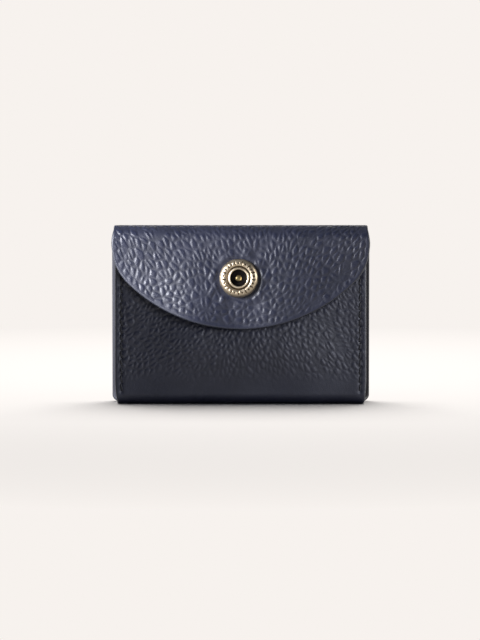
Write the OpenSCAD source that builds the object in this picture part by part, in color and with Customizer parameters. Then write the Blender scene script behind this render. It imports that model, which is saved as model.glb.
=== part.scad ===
// Snap-closed leather card holder: front pocket with side gussets, card pocket at the back,
// rounded flap held by a ring-spring snap.
// Millimetres. +X is to the right as seen from the front, the front faces -Y, +Z is up.
// The origin is the middle of the flat strip that the holder stands on.

/* [Overall] */
// Width of the flap, the top fold and the back
width = 100; // [70:1:140]
// Height from the standing strip to the crest of the fold
height = 69; // [50:1:100]
// Depth of the body at its widest, near the bottom
depth = 18; // [12:0.5:28]
// Thickness of the outer leather
leather = 1.5; // [1:0.1:2.2]
// Gap left between two layers of leather that lie on each other
layer_gap = 0.1; // [0.05:0.05:0.3]

/* [Folds] */
// Outer radius of the fold over the top
fold_radius = 6.3; // [4.5:0.1:9]
// Outer radius of the two long bottom corners
bottom_radius = 3.8; // [3.2:0.1:6]
// Half of the slit that lets two leather bodies turn, in degrees of the fold
slit_half_angle = 0.6; // [0.3:0.1:2]

/* [Flap] */
// Height of the flap from the crest to its lowest point
flap_drop = 39.9; // [30:0.1:60]
// Straight part of the flap's side below the crest
flap_side = 7.6; // [4:0.2:16]
// Radius of the two shoulders where the flap's side turns into its lower curve
flap_shoulder = 20.25; // [8:0.25:26]
// Space between the flap and the front, filled by the two snap halves
flap_space = 2.4; // [2.4:0.1:4]

/* [Front] */
// How much narrower the front is than the flap
front_inset = 2.7; // [0:0.1:8]
// How much the front narrows again at its lower corners
front_taper = 1.6; // [0:0.1:6]
// Height over which the front narrows
taper_height = 11; // [5:0.5:20]
// Distance from the crest down to the mouth of the front pocket
mouth_drop = 9.5; // [7:0.5:20]
// Radius of the back's lower corners
back_corner = 2.2; // [0.5:0.1:6]

/* [Gussets and card pocket] */
// Thickness of the gusset leather
gusset = 0.9; // [0.6:0.1:1.4]
// How far the gusset folds in between the walls at the mouth
fold_in_at_mouth = 8.7; // [5:0.1:14]
// How far the gusset folds in between the walls at the bottom
fold_in_at_bottom = 4.8; // [3:0.1:14]
// How far a gusset's flange reaches in from its seam
flange_reach = 1.9; // [1.5:0.1:4]
// Thickness of the card pocket leather
pocket = 1.0; // [0.6:0.1:1.4]
// How far the inner layers stop short of the back's side edges
inner_margin = 0.6; // [0.2:0.1:2]
// How far the card pocket's top edge dips in the middle
scoop_drop = 8; // [3:0.5:16]
// Distance from the mouth down to the top of the gussets and of the pocket's sides
gusset_below_mouth = 2; // [1:0.5:6]

/* [Seams] */
// Distance of the seams from the front's side edges
seam_inset = 2.45; // [1.8:0.05:4]
// Distance between two pricked holes
stitch_pitch = 3.15; // [2.4:0.05:5]
// Radius of a pricked hole
hole_radius = 0.5; // [0.4:0.05:0.7]
// Thickness of the thread
thread = 0.6; // [0.4:0.05:0.8]
// Distance from the bottom corner's end up to the first hole
first_stitch = 0.9; // [0.8:0.1:4]

/* [Snap] */
// Radius of the cap that shows on the flap
cap_radius = 7.5; // [5:0.1:10]
// Height of the cap over the leather
cap_height = 2.9; // [2:0.1:4]
// Radius of the hole in the middle of the cap
cap_hole = 3.25; // [2:0.05:4]
// Thickness of the pressed brass
brass = 0.35; // [0.25:0.05:0.5]
// Distance from the crest down to the middle of the snap, along the front view
snap_drop = 20.6; // [15:0.1:32]
// How far the snap sits left of the middle
snap_left = 0.8; // [-3:0.1:3]
// Radius of the rivet through cap, flap and socket
rivet_radius = 0.95; // [0.7:0.05:1.3]
// Radius of the widest part of the stud's nub
nub_radius = 2.6; // [2:0.1:3.2]
// Radius of the stud's flange on the front leather
stud_radius = 5.25; // [4:0.05:8]
// Radius of the post's flange inside the pocket
post_radius = 4.8; // [3:0.1:7]
// Radius of the leather patch behind the stud
patch_radius = 8; // [6:0.5:14]
// Free space around the nub in the socket's mouth
nub_clearance = 0.55; // [0.5:0.05:1]
// Clearance between two metal pieces that touch in use
metal_gap = 0.03; // [0.02:0.01:0.1]

/* [Hidden] */
$fn = 64;
half_depth = depth / 2;
corner_y = half_depth - bottom_radius;
fold_z = height - fold_radius;
rise = fold_z - bottom_radius;

// Angle of a wall that touches the bottom corner's circle and the fold's circle.
// "extra" is how far the fold's wall stands outside the wall at the bottom.
function lean_of(extra) =
    let(reach = sqrt(corner_y * corner_y + rise * rise))
    asin((bottom_radius + extra - fold_radius) / reach) + atan2(corner_y, rise);

back_lean = lean_of(0);
front_lean = lean_of(flap_space + leather);
front_width = width - front_inset;
base_width = front_width - front_taper;
seam_x = front_width / 2 - seam_inset;

mouth_z = height - mouth_drop;
gusset_z = mouth_z - gusset_below_mouth;
front_foot_z = bottom_radius + bottom_radius * sin(front_lean);
back_foot_z = bottom_radius + bottom_radius * sin(back_lean);
front_foot_y = corner_y + bottom_radius * cos(front_lean);
back_foot_y = corner_y + bottom_radius * cos(back_lean);
front_length = (mouth_z - front_foot_z) / cos(front_lean);
back_length = (fold_z + fold_radius * sin(back_lean) - back_foot_z) / cos(back_lean);
flap_foot_z = fold_z + fold_radius * sin(front_lean);
flap_length = (flap_foot_z - (height - flap_drop)) / cos(front_lean);

front_gusset_length = (gusset_z - front_foot_z) / cos(front_lean);
back_gusset_length = (gusset_z - back_foot_z) / cos(back_lean);
front_stitches = floor((front_gusset_length - first_stitch - 1) / stitch_pitch);
back_stitches = floor((back_gusset_length - first_stitch - 1) / stitch_pitch);

// Height of the snap along the front wall, from the wall's foot.
snap_s = (height - snap_drop - front_foot_z) / cos(front_lean);
snap_x = -snap_left;
flap_in = flap_space;
flap_out = flap_space + leather;

stud_flange = 0.42;
lip_low = stud_flange + 0.2;
groove_low = lip_low + 0.23;
groove_high = groove_low + 0.55;
spring_wire = 0.22;
spring_n = (groove_low + groove_high) / 2;
nub_top = groove_high + 0.15;
socket_floor = flap_in - 0.02 - brass;
lip_radius = nub_radius + nub_clearance;
socket_radius = lip_radius + 1.65;
spring_radius = lip_radius - 0.14;
cap_base = flap_out + 0.02;
cap_top = flap_out + cap_height;
disc_top = cap_base + brass;

// Front seam: outer leather and the gusset's flange. Back seam: the card pocket too.
front_stack = leather + layer_gap + gusset;
back_stack = front_stack + pocket + layer_gap;
seam_skin = 0.03;
// Sheets are bent from a wider strip and then cut to their outlines.
raw_width = width + 4;
foot_gap = 0.05;
// Overlap where two parts of one piece come from different frames.
weld = 0.01;

// ---- Frames: x along the width, y up the wall, z out of the wall's outer face ----
module on_front() {
    translate([0, -front_foot_y, front_foot_z]) rotate([90 - front_lean, 0, 0]) children();
}

module on_back() {
    rotate([0, 0, 180]) translate([0, -back_foot_y, back_foot_z])
        rotate([90 - back_lean, 0, 0]) children();
}

module at_snap() {
    on_front() translate([snap_x, snap_s, 0]) children();
}

// A bent strip of leather: an arc about a line along X, angles from +Y towards +Z. It starts
// at the end that joins a straight piece, where the angle is a right one, so the ends meet.
module bent(y, z, outer, thick, from, to, wide) {
    translate([0, y, z]) rotate([0, 90, 0]) rotate([0, 0, from + 90])
        rotate_extrude(angle = to - from)
            translate([outer - thick, -wide / 2]) square([thick, wide]);
}

// A body of revolution about the snap's axis, from [radius, height] points.
module turned(points) {
    rotate_extrude() polygon(points);
}

// ---- Leather ----
// Points on a circle from one angle to another.
function arc(x, y, r, from, to, n) =
    [for (i = [0 : n]) let(a = from + (to - from) * i / n) [x + r * cos(a), y + r * sin(a)]];

// Everything the flap keeps: a shoulder arc on each side and one long lower arc, all tangent.
// The lower arc's radius is the one that touches both shoulders and the flap's lowest point.
module flap_outline() {
    half = width / 2;
    side_y = height - flap_side - flap_foot_z;
    fall = flap_length + side_y;
    sr = min(flap_shoulder, 0.8 * fall);
    span = half - sr;
    curve = (span * span + fall * fall - sr * sr) / (2 * (fall - sr));
    meet = -atan2(curve - fall, span);
    polygon(concat(
        [[-half, fold_radius]],
        arc(-half + sr, side_y, sr, -180, -180 - meet, 14),
        arc(0, curve - flap_length, curve, -180 - meet + 1.5, meet - 1.5, 48),
        arc(half - sr, side_y, sr, meet, 0, 14),
        [[half, fold_radius]]
    ));
}

// The rear wall carries the fold's rear part, the bottom corner and the standing strip.
module back_panel() {
    color([0.09, 0.10, 0.16])
    difference() {
        union() {
            intersection() {
                on_back() union() {
                    bent(back_length, -fold_radius, fold_radius, leather,
                         90, 45 + slit_half_angle + back_lean, raw_width);
                    translate([-raw_width / 2, 0, -leather])
                        cube([raw_width, back_length, leather]);
                    bent(0, -bottom_radius, bottom_radius, leather, 90, 180 + back_lean,
                         raw_width);
                }
                translate([-width, 0, -1]) cube([2 * width, depth, height + 2]);
                rotate([90, 0, 0]) linear_extrude(height = 4 * depth, center = true)
                    back_outline();
            }
            translate([-base_width / 2, -corner_y, 0])
                cube([base_width, 2 * corner_y + weld, leather]);
            bent(-corner_y, bottom_radius, bottom_radius, leather,
                 -90, -135 + slit_half_angle, base_width);
        }
        on_back() back_holes();
    }
}

// The back seen from the front: square at the top, rounded at its two lower corners.
module back_outline() {
    half = width / 2;
    r = back_corner;
    difference() {
        translate([-half, -1]) square([width, height + 1]);
        for (side = [-1, 1])
            translate([side * (half - r), r - foot_gap]) difference() {
                translate([side > 0 ? 0 : -2 * r, -2 * r]) square([2 * r, 2 * r]);
                circle(r = r);
            }
    }
}

module front_outline() {
    half = front_width / 2;
    low = base_width / 2;
    polygon([[-low, -1], [low, -1], [low, 0], [half - front_taper / 6, taper_height / 2],
             [half, taper_height], [half, height], [-half, height], [-half, taper_height],
             [-half + front_taper / 6, taper_height / 2], [-low, 0]]);
}

// Pricked holes along one side's seam, drawn in a wall's frame.
module hole_row(count, side) {
    for (i = [0 : count])
        translate([side * seam_x, first_stitch + i * stitch_pitch])
            circle(r = hole_radius, $fn = 24);
}

module back_holes() {
    for (side = [-1, 1])
        translate([0, 0, -leather - 1])
            linear_extrude(height = leather + 2) hole_row(back_stitches, side);
}

module top_fold() {
    color([0.09, 0.10, 0.16])
    bent(0, fold_z, fold_radius, leather, 45 + slit_half_angle, 135 - slit_half_angle, width);
}

module flap() {
    color([0.10, 0.11, 0.18])
    difference() {
        translate([0, -fold_radius * cos(front_lean), flap_foot_z])
            rotate([90 - front_lean, 0, 0]) intersection() {
                union() {
                    bent(0, -fold_radius, fold_radius, leather,
                         90, 45 + front_lean + slit_half_angle, raw_width);
                    translate([-raw_width / 2, -flap_length - 1, -leather])
                        cube([raw_width, flap_length + 1, leather]);
                }
                translate([0, 0, -2 * fold_radius])
                    linear_extrude(height = 3 * fold_radius) flap_outline();
            }
        at_snap() translate([0, 0, flap_in - 1])
            cylinder(r = rivet_radius + 0.15, h = leather + 2);
    }
}

module front_panel() {
    color([0.08, 0.09, 0.14])
    difference() {
        intersection() {
            on_front() union() {
                bent(0, -bottom_radius, bottom_radius, leather,
                     90, 135 + front_lean - slit_half_angle, raw_width);
                translate([-raw_width / 2, 0, -leather])
                    cube([raw_width, front_length, leather]);
            }
            rotate([90, 0, 0]) linear_extrude(height = 4 * depth, center = true)
                front_outline();
        }
        on_front() for (side = [-1, 1])
            translate([0, 0, -leather - 1])
                linear_extrude(height = leather + 2) hole_row(front_stitches, side);
        at_snap() translate([0, 0, -leather - 1])
            cylinder(r = rivet_radius + 0.65, h = leather + 2);
    }
}

module card_pocket() {
    half = width / 2 - inner_margin;
    top = back_gusset_length;
    color([0.12, 0.13, 0.20])
    on_back() translate([0, 0, -leather - layer_gap - pocket]) linear_extrude(height = pocket)
        difference() {
            translate([-half, foot_gap]) square([2 * half, top - foot_gap]);
            scoop(top);
            for (side = [-1, 1]) hole_row(back_stitches, side);
        }
}

// The dip in the pocket's top edge: a shallow arc between the seams.
module scoop(top) {
    half = seam_x - 8;
    r = (half * half + scoop_drop * scoop_drop) / (2 * scoop_drop);
    translate([0, top + r - scoop_drop]) circle(r = r, $fn = 180);
}

// ---- Gusset: two flanges in the seams and a V of two wings between them ----
// The walls' inner faces at height z, seen as y.
function front_inner(z) =
    z >= front_foot_z
    ? -front_foot_y + (z - front_foot_z) * tan(front_lean) + leather / cos(front_lean)
    : -corner_y - sqrt(pow(bottom_radius - leather, 2) - pow(bottom_radius - z, 2));

function back_inner(z) =
    z >= back_foot_z
    ? back_foot_y - (z - back_foot_z) * tan(back_lean) - leather / cos(back_lean)
    : corner_y + sqrt(pow(bottom_radius - leather, 2) - pow(bottom_radius - z, 2));

// Middle of each flange's thickness, seen as y.
function front_flange(z) = front_inner(z) + layer_gap + gusset / 2;
function back_flange(z) = back_inner(z) - 2 * layer_gap - pocket - gusset / 2;

function fold_in(z) = fold_in_at_bottom + (fold_in_at_mouth - fold_in_at_bottom) * z / gusset_z;

// Six corners of the V at height z: outer side first, then back along the inner side.
function v_section(z) =
    let(
        ax = seam_x - 0.75 * flange_reach,
        ya = front_flange(z),
        yb = back_flange(z),
        h = (yb - ya) / 2,
        d = fold_in(z),
        wing = sqrt(d * d + h * h),
        m = (ya + yb) / 2,
        nx = h / wing * gusset / 2,
        ny = d / wing * gusset / 2,
        off = gusset / 2 * wing / h
    )
    [[ax + nx, ya + ny, z], [ax - d + off, m, z], [ax + nx, yb - ny, z],
     [ax - nx, yb + ny, z], [ax - d - off * 0.75, m, z], [ax - nx, ya - ny, z]];

v_low = bottom_radius * 0.62;
v_levels = [v_low, bottom_radius, 0.25 * gusset_z, 0.5 * gusset_z, 0.75 * gusset_z,
            gusset_z];

module v_wings() {
    rows = len(v_levels);
    pts = [for (z = v_levels) each v_section(z)];
    sides = [for (k = [0 : rows - 2]) for (i = [0 : 5])
             [k * 6 + i, (k + 1) * 6 + i, (k + 1) * 6 + (i + 1) % 6, k * 6 + (i + 1) % 6]];
    halves = [for (f = sides) each [[f[0], f[1], f[2]], [f[0], f[2], f[3]]]];
    n = (rows - 1) * 6;
    caps = [[0, 1, 4], [0, 4, 5], [1, 2, 3], [1, 3, 4],
            [n, n + 4, n + 1], [n, n + 5, n + 4], [n + 1, n + 3, n + 2], [n + 1, n + 4, n + 3]];
    polyhedron(points = pts, faces = concat(halves, caps));
}

module gusset_right() {
    inner = seam_x - flange_reach;
    front_edge = base_width / 2 - inner;
    back_edge = width / 2 - inner_margin - inner;
    color([0.14, 0.15, 0.22])
    union() {
        v_wings();
        on_front() translate([0, 0, -leather - layer_gap - gusset])
            linear_extrude(height = gusset) difference() {
                translate([inner, foot_gap])
                    square([front_edge, front_gusset_length - foot_gap]);
                hole_row(front_stitches, 1);
            }
        on_back() translate([0, 0, -back_stack])
            linear_extrude(height = gusset) difference() {
                translate([-inner - back_edge, foot_gap])
                    square([back_edge, back_gusset_length - foot_gap]);
                hole_row(back_stitches, -1);
            }
    }
}

module right_gusset() {
    gusset_right();
}

module left_gusset() {
    mirror([1, 0, 0]) gusset_right();
}

// ---- Seams: thread on both faces, joined through each pricked hole ----
module seam(count, stack, side) {
    run = count * stitch_pitch + thread;
    tall = stack + 2 * (seam_skin + thread);
    color([0.05, 0.06, 0.11])
    translate([side * seam_x - thread / 2, first_stitch - thread / 2, seam_skin + thread])
        rotate([0, 90, 0]) linear_extrude(height = thread)
            difference() {
                square([tall, run]);
                for (i = [0 : count - 1])
                    translate([thread, thread + i * stitch_pitch])
                        square([tall - 2 * thread, stitch_pitch - thread]);
            }
}

module front_left_seam() {
    on_front() seam(front_stitches, front_stack, -1);
}

module front_right_seam() {
    on_front() seam(front_stitches, front_stack, 1);
}

module back_left_seam() {
    on_back() seam(back_stitches, back_stack, 1);
}

module back_right_seam() {
    on_back() seam(back_stitches, back_stack, -1);
}

// ---- Snap: every piece turned about the snap's axis, heights above the front leather ----
module snap_cap() {
    r = cap_radius;
    h = cap_hole;
    low = cap_base;
    top = cap_top;
    color([0.55, 0.44, 0.28])
    at_snap() turned([
        [r - 0.25, low], [r, low + 0.3], [r, low + 0.75], [r - 0.22, low + 1.35],
        [r - 0.75, low + 1.95], [r - 1.5, top - 0.3], [r - 2.35, top - 0.12],
        [h + 1.15, top - 0.28], [h + 0.85, top - 0.05], [h + 0.45, top], [h + 0.1, top - 0.12],
        [h, top - 0.5], [h, disc_top + metal_gap], [h + brass, disc_top + metal_gap],
        [h + brass, top - 0.5 - brass], [r - 2.35, top - 0.15 - brass],
        [r - 1.6, top - 0.35 - brass], [r - 0.98, low + 1.65],
        [r - 0.55, low + 1.1], [r - brass, low + 0.7], [r - brass, low + 0.35],
        [r - 0.65, low + 0.3], [r - 0.65, low]
    ]);
}

module cap_disc() {
    outer = cap_radius - 0.65 - metal_gap;
    color([0.12, 0.11, 0.11])
    at_snap() turned([
        [rivet_radius + metal_gap, cap_base], [outer, cap_base], [outer, disc_top],
        [rivet_radius + metal_gap, disc_top]
    ]);
}

module cap_rivet() {
    // Head in the cap, shank through the flap, end spread under the socket's floor.
    low = socket_floor - 0.2;
    color([0.62, 0.52, 0.32])
    at_snap() turned([
        [0, low], [rivet_radius + 0.7, low], [rivet_radius + 0.85, low + 0.12],
        [rivet_radius + 0.6, socket_floor - metal_gap], [rivet_radius, socket_floor - metal_gap],
        [rivet_radius, disc_top + metal_gap], [rivet_radius + 0.25, disc_top + metal_gap],
        [rivet_radius + 0.2, disc_top + 0.35], [rivet_radius - 0.2, disc_top + 0.6],
        [0, disc_top + 0.68]
    ]);
}

module snap_socket() {
    r = socket_radius;
    top = flap_in - 0.02;
    color([0.50, 0.41, 0.27])
    at_snap() turned([
        [rivet_radius + metal_gap, socket_floor], [rivet_radius + metal_gap, top],
        [r + 1.1, top], [r + 1.2, top - 0.15], [r + 1.1, top - brass], [r + 0.15, top - brass],
        [r, top - brass - 0.2], [r, lip_low + 0.35], [r - 0.35, lip_low],
        [lip_radius + 0.15, lip_low], [lip_radius, lip_low + 0.1], [lip_radius, groove_low],
        [lip_radius + 0.42, groove_low + 0.05], [lip_radius + 0.42, groove_high],
        [lip_radius, groove_high + 0.08], [lip_radius, socket_floor]
    ]);
}

module socket_spring() {
    color([0.7, 0.7, 0.68])
    at_snap() translate([0, 0, spring_n])
        rotate([0, 0, 20]) rotate_extrude(angle = 320)
            translate([spring_radius, 0]) circle(r = spring_wire, $fn = 24);
}

module snap_stud() {
    n = nub_radius;
    bore = rivet_radius + 0.5 + metal_gap;
    color([0.52, 0.43, 0.28])
    at_snap() turned([
        [bore, 0.02], [stud_radius - 0.15, 0.02], [stud_radius, 0.12],
        [stud_radius - 0.05, 0.3], [stud_radius - 0.2, stud_flange],
        [n + 0.6, stud_flange], [n + 0.1, stud_flange + 0.12], [n - 0.3, groove_low - 0.05],
        [n - 0.3, groove_high - 0.2], [n - 0.05, groove_high], [n, groove_high + 0.08],
        [n - 0.15, nub_top - 0.06], [n - 0.45, nub_top],
        [bore, nub_top], [bore, nub_top - 0.4]
    ]);
}

module stud_post() {
    // Eyelet from inside the pocket, spread in the top of the stud.
    inner = -leather - layer_gap - gusset;
    tube = rivet_radius + 0.5;
    color([0.58, 0.48, 0.30])
    at_snap() turned([
        [tube - brass, inner - 0.45], [post_radius - 0.2, inner - 0.3],
        [post_radius, inner - 0.12], [post_radius - 0.2, inner - metal_gap],
        [tube, inner - metal_gap], [tube, nub_top + metal_gap],
        [tube + 0.4, nub_top + metal_gap], [tube + 0.3, nub_top + 0.18],
        [tube - 0.05, nub_top + 0.2], [tube - brass, nub_top + 0.05]
    ]);
}

module stud_patch() {
    // Leather disc that backs the stud inside the pocket.
    color([0.13, 0.14, 0.20])
    at_snap() translate([0, 0, -leather - layer_gap - gusset])
        linear_extrude(height = gusset) difference() {
            circle(r = patch_radius, $fn = 96);
            circle(r = rivet_radius + 0.65, $fn = 48);
        }
}

back_panel();
top_fold();
flap();
front_panel();
card_pocket();
left_gusset();
right_gusset();
front_left_seam();
front_right_seam();
back_left_seam();
back_right_seam();
snap_cap();
cap_disc();
cap_rivet();
snap_socket();
socket_spring();
snap_stud();
stud_post();
stud_patch();
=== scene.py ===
import math

import bmesh
import bpy
import numpy as np
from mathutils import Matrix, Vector


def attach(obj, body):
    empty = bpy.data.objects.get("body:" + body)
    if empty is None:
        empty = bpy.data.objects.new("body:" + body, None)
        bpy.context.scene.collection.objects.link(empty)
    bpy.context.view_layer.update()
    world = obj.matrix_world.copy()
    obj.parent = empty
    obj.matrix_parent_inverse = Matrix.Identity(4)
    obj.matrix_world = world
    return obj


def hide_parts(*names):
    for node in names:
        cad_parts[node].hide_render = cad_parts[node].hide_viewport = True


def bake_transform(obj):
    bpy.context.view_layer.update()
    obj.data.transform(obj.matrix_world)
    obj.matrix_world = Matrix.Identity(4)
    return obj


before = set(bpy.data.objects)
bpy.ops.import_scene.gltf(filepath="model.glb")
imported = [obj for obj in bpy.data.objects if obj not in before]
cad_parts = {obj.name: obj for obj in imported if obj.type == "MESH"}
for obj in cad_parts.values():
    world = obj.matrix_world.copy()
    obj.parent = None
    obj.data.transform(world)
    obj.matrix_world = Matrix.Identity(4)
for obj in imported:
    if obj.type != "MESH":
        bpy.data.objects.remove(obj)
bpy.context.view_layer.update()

mm = 0.001


# ---- The outer leather ---------------------------------------------------------------
# One long strip of cow leather about 1.5 mm thick with a pebbled grain. It starts at the
# mouth of the front pocket, runs down the front, under the bottom, up the back, over the
# top and down again as the flap. Bent while damp; here it is cut into three pieces.

WIDTH, HEIGHT, HALF_DEPTH, LEATHER = 100 * mm, 69 * mm, 9 * mm, 1.5 * mm
FOLD_R, CORNER_R = 6.3 * mm, 3.8 * mm
CORNER_Y = HALF_DEPTH - CORNER_R
MOUTH_Z, SNAP_Z = HEIGHT - 9.5 * mm, HEIGHT - 20.6 * mm
FLAP_LOW_Z, FLAP_SIDE_Z = HEIGHT - 39.9 * mm, HEIGHT - 7.6 * mm
FLAP_GAP = 2.4 * mm
FRONT_WIDTH, BASE_WIDTH = 97.3 * mm, 95.7 * mm
SHOULDER_R = 20.25 * mm
BACK_CORNER_R = 2.2 * mm
EDGE_ROUND = 0.55 * mm


def lean_of(extra):
    """Angle from upright of a wall that touches the bottom corner's circle and the fold's
    circle: arcsine of the radii's difference over the centres' distance, plus the angle
    of the line between the centres."""
    rise = HEIGHT - FOLD_R - CORNER_R
    reach = math.hypot(CORNER_Y, rise)
    return math.asin((CORNER_R + extra - FOLD_R) / reach) + math.atan2(CORNER_Y, rise)


BACK_LEAN = lean_of(0)
FRONT_LEAN = lean_of(FLAP_GAP + LEATHER)
FOLD_Z = HEIGHT - FOLD_R
front_foot = np.array([-CORNER_Y - CORNER_R * math.cos(FRONT_LEAN),
                       CORNER_R + CORNER_R * math.sin(FRONT_LEAN)])
back_foot = np.array([CORNER_Y + CORNER_R * math.cos(BACK_LEAN),
                      CORNER_R + CORNER_R * math.sin(BACK_LEAN)])
flap_foot_z = FOLD_Z + FOLD_R * math.sin(FRONT_LEAN)
FRONT_LENGTH = (MOUTH_Z - front_foot[1]) / math.cos(FRONT_LEAN)
BACK_LENGTH = (FOLD_Z + FOLD_R * math.sin(BACK_LEAN) - back_foot[1]) / math.cos(BACK_LEAN)
FLAP_LENGTH = (flap_foot_z - FLAP_LOW_Z) / math.cos(FRONT_LEAN)
turn_front = math.pi / 2 + FRONT_LEAN
turn_back = math.pi / 2 + BACK_LEAN
turn_fold_rear = math.pi / 2 - BACK_LEAN
turn_fold_front = math.pi / 2 - FRONT_LEAN
# Straights and arcs in order, as (length, turn): mouth to flap edge.
sheet_parts = [(FRONT_LENGTH, 0.0), (CORNER_R * turn_front, turn_front),
               (2 * CORNER_Y, 0.0), (CORNER_R * turn_back, turn_back),
               (BACK_LENGTH, 0.0), (FOLD_R * turn_fold_rear, turn_fold_rear),
               (FOLD_R * turn_fold_front, turn_fold_front), (FLAP_LENGTH, 0.0)]
marks = np.concatenate([[0.0], np.cumsum([part[0] for part in sheet_parts])])
S_FOOT, S_BASE, S_BASE_END, S_WALL, S_FOLD, S_CREST, S_FLAP = marks[1:-1]
mouth_point = front_foot + FRONT_LENGTH * np.array([math.sin(FRONT_LEAN), math.cos(FRONT_LEAN)])


def sheet_line(s):
    """The strip's outer face seen from the side, as y, z and the outward normal, for the
    distance s from the mouth. On each straight or arc the heading turns evenly, so the
    step is a chord: distance times sin(half turn)/(half turn), along the mean heading."""
    y = np.full(s.shape, mouth_point[0])
    z = np.full(s.shape, mouth_point[1])
    heading = np.full(s.shape, 1.5 * math.pi - FRONT_LEAN)
    left = s.copy()
    for length, turn in sheet_parts:
        run = np.clip(left, 0, length)
        swing = run * turn / length
        chord = run * np.sinc(swing / (2 * math.pi))
        y = y + chord * np.cos(heading + swing / 2)
        z = z + chord * np.sin(heading + swing / 2)
        heading = heading + swing
        left = left - length
    return y, z, np.sin(heading), -np.cos(heading)


def smooth(t):
    """Soft step from 0 to 1: 3 t squared minus 2 t cubed, with t held between 0 and 1."""
    t = np.clip(t, 0, 1)
    return t * t * (3 - 2 * t)


def pebbles(x, s, lean, stretch, size, seed):
    """Height 0 to 1 of a pebbled skin: each jittered seed owns a cell, and the height falls
    to 0 where the nearest two seeds are equally far. Distances are shortened along the
    direction lean (angle from the s axis) by stretch, which draws the cells out."""
    dice = np.random.default_rng(seed).random((64, 64, 3))
    ci = np.floor(x / size).astype(int)
    cj = np.floor(s / size).astype(int)
    sin_l, cos_l = np.sin(lean), np.cos(lean)
    near = np.full(x.shape, 99.0)
    second = np.full(x.shape, 99.0)
    tone = np.zeros(x.shape)
    for di in range(-3, 4):
        for dj in range(-3, 4):
            roll = dice[(ci + di) % 64, (cj + dj) % 64]
            dx = (ci + di + roll[..., 0]) - x / size
            ds = (cj + dj + roll[..., 1]) - s / size
            along = dx * sin_l + ds * cos_l
            across = dx * cos_l - ds * sin_l
            far = np.hypot(along / stretch, across * stretch)
            closer = far < near
            second = np.where(closer, near, np.minimum(second, far))
            tone = np.where(closer, roll[..., 2], tone)
            near = np.where(closer, far, near)
    dome = smooth((second - near) / 0.62 + 0.04) * (1 - 0.25 * np.clip(near, 0, 1) ** 2)
    return dome * (0.70 + 0.30 * tone), tone


def waves(x, s, step, seed):
    """Slow swell between -1 and 1: the mean of six cosines in seeded directions."""
    rng = np.random.default_rng(seed)
    total = np.zeros(x.shape)
    for angle, phase, pitch in zip(rng.random(6) * math.pi, rng.random(6) * 6.28,
                                   0.7 + rng.random(6)):
        total += np.cos((x * math.cos(angle) + s * math.sin(angle)) * 6.28 / (step * pitch) + phase)
    return total / 3.0


def border(columns, rows):
    """Numbers of a grid's border points, once round, from its first row on."""
    i, j = np.arange(columns + 1), np.arange(rows + 1)
    return np.concatenate([i[:-1], j[:-1] * (columns + 1) + columns,
                           rows * (columns + 1) + i[:0:-1], j[:0:-1] * (columns + 1)])


def first_corners(columns, rows):
    """Number of the first corner of each of a grid's cells."""
    return (np.arange(rows)[:, None] * (columns + 1) + np.arange(columns)).ravel()


def smooth_piece(name, points, faces):
    """A new piece of these points and faces, shaded smooth and linked into the scene."""
    mesh = bpy.data.meshes.new(name)
    mesh.from_pydata(points.tolist(), [], faces)
    mesh.polygons.foreach_set("use_smooth", np.ones(len(mesh.polygons), bool))
    mesh.update()
    piece = bpy.data.objects.new(name, mesh)
    bpy.context.scene.collection.objects.link(piece)
    return piece


def set_mark(piece, key, values):
    """Stores one number per point, which the finishes read by its key."""
    mark = piece.data.attributes.new(key, "FLOAT", "POINT")
    mark.data.foreach_set("value", values.astype(np.float32))


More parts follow.
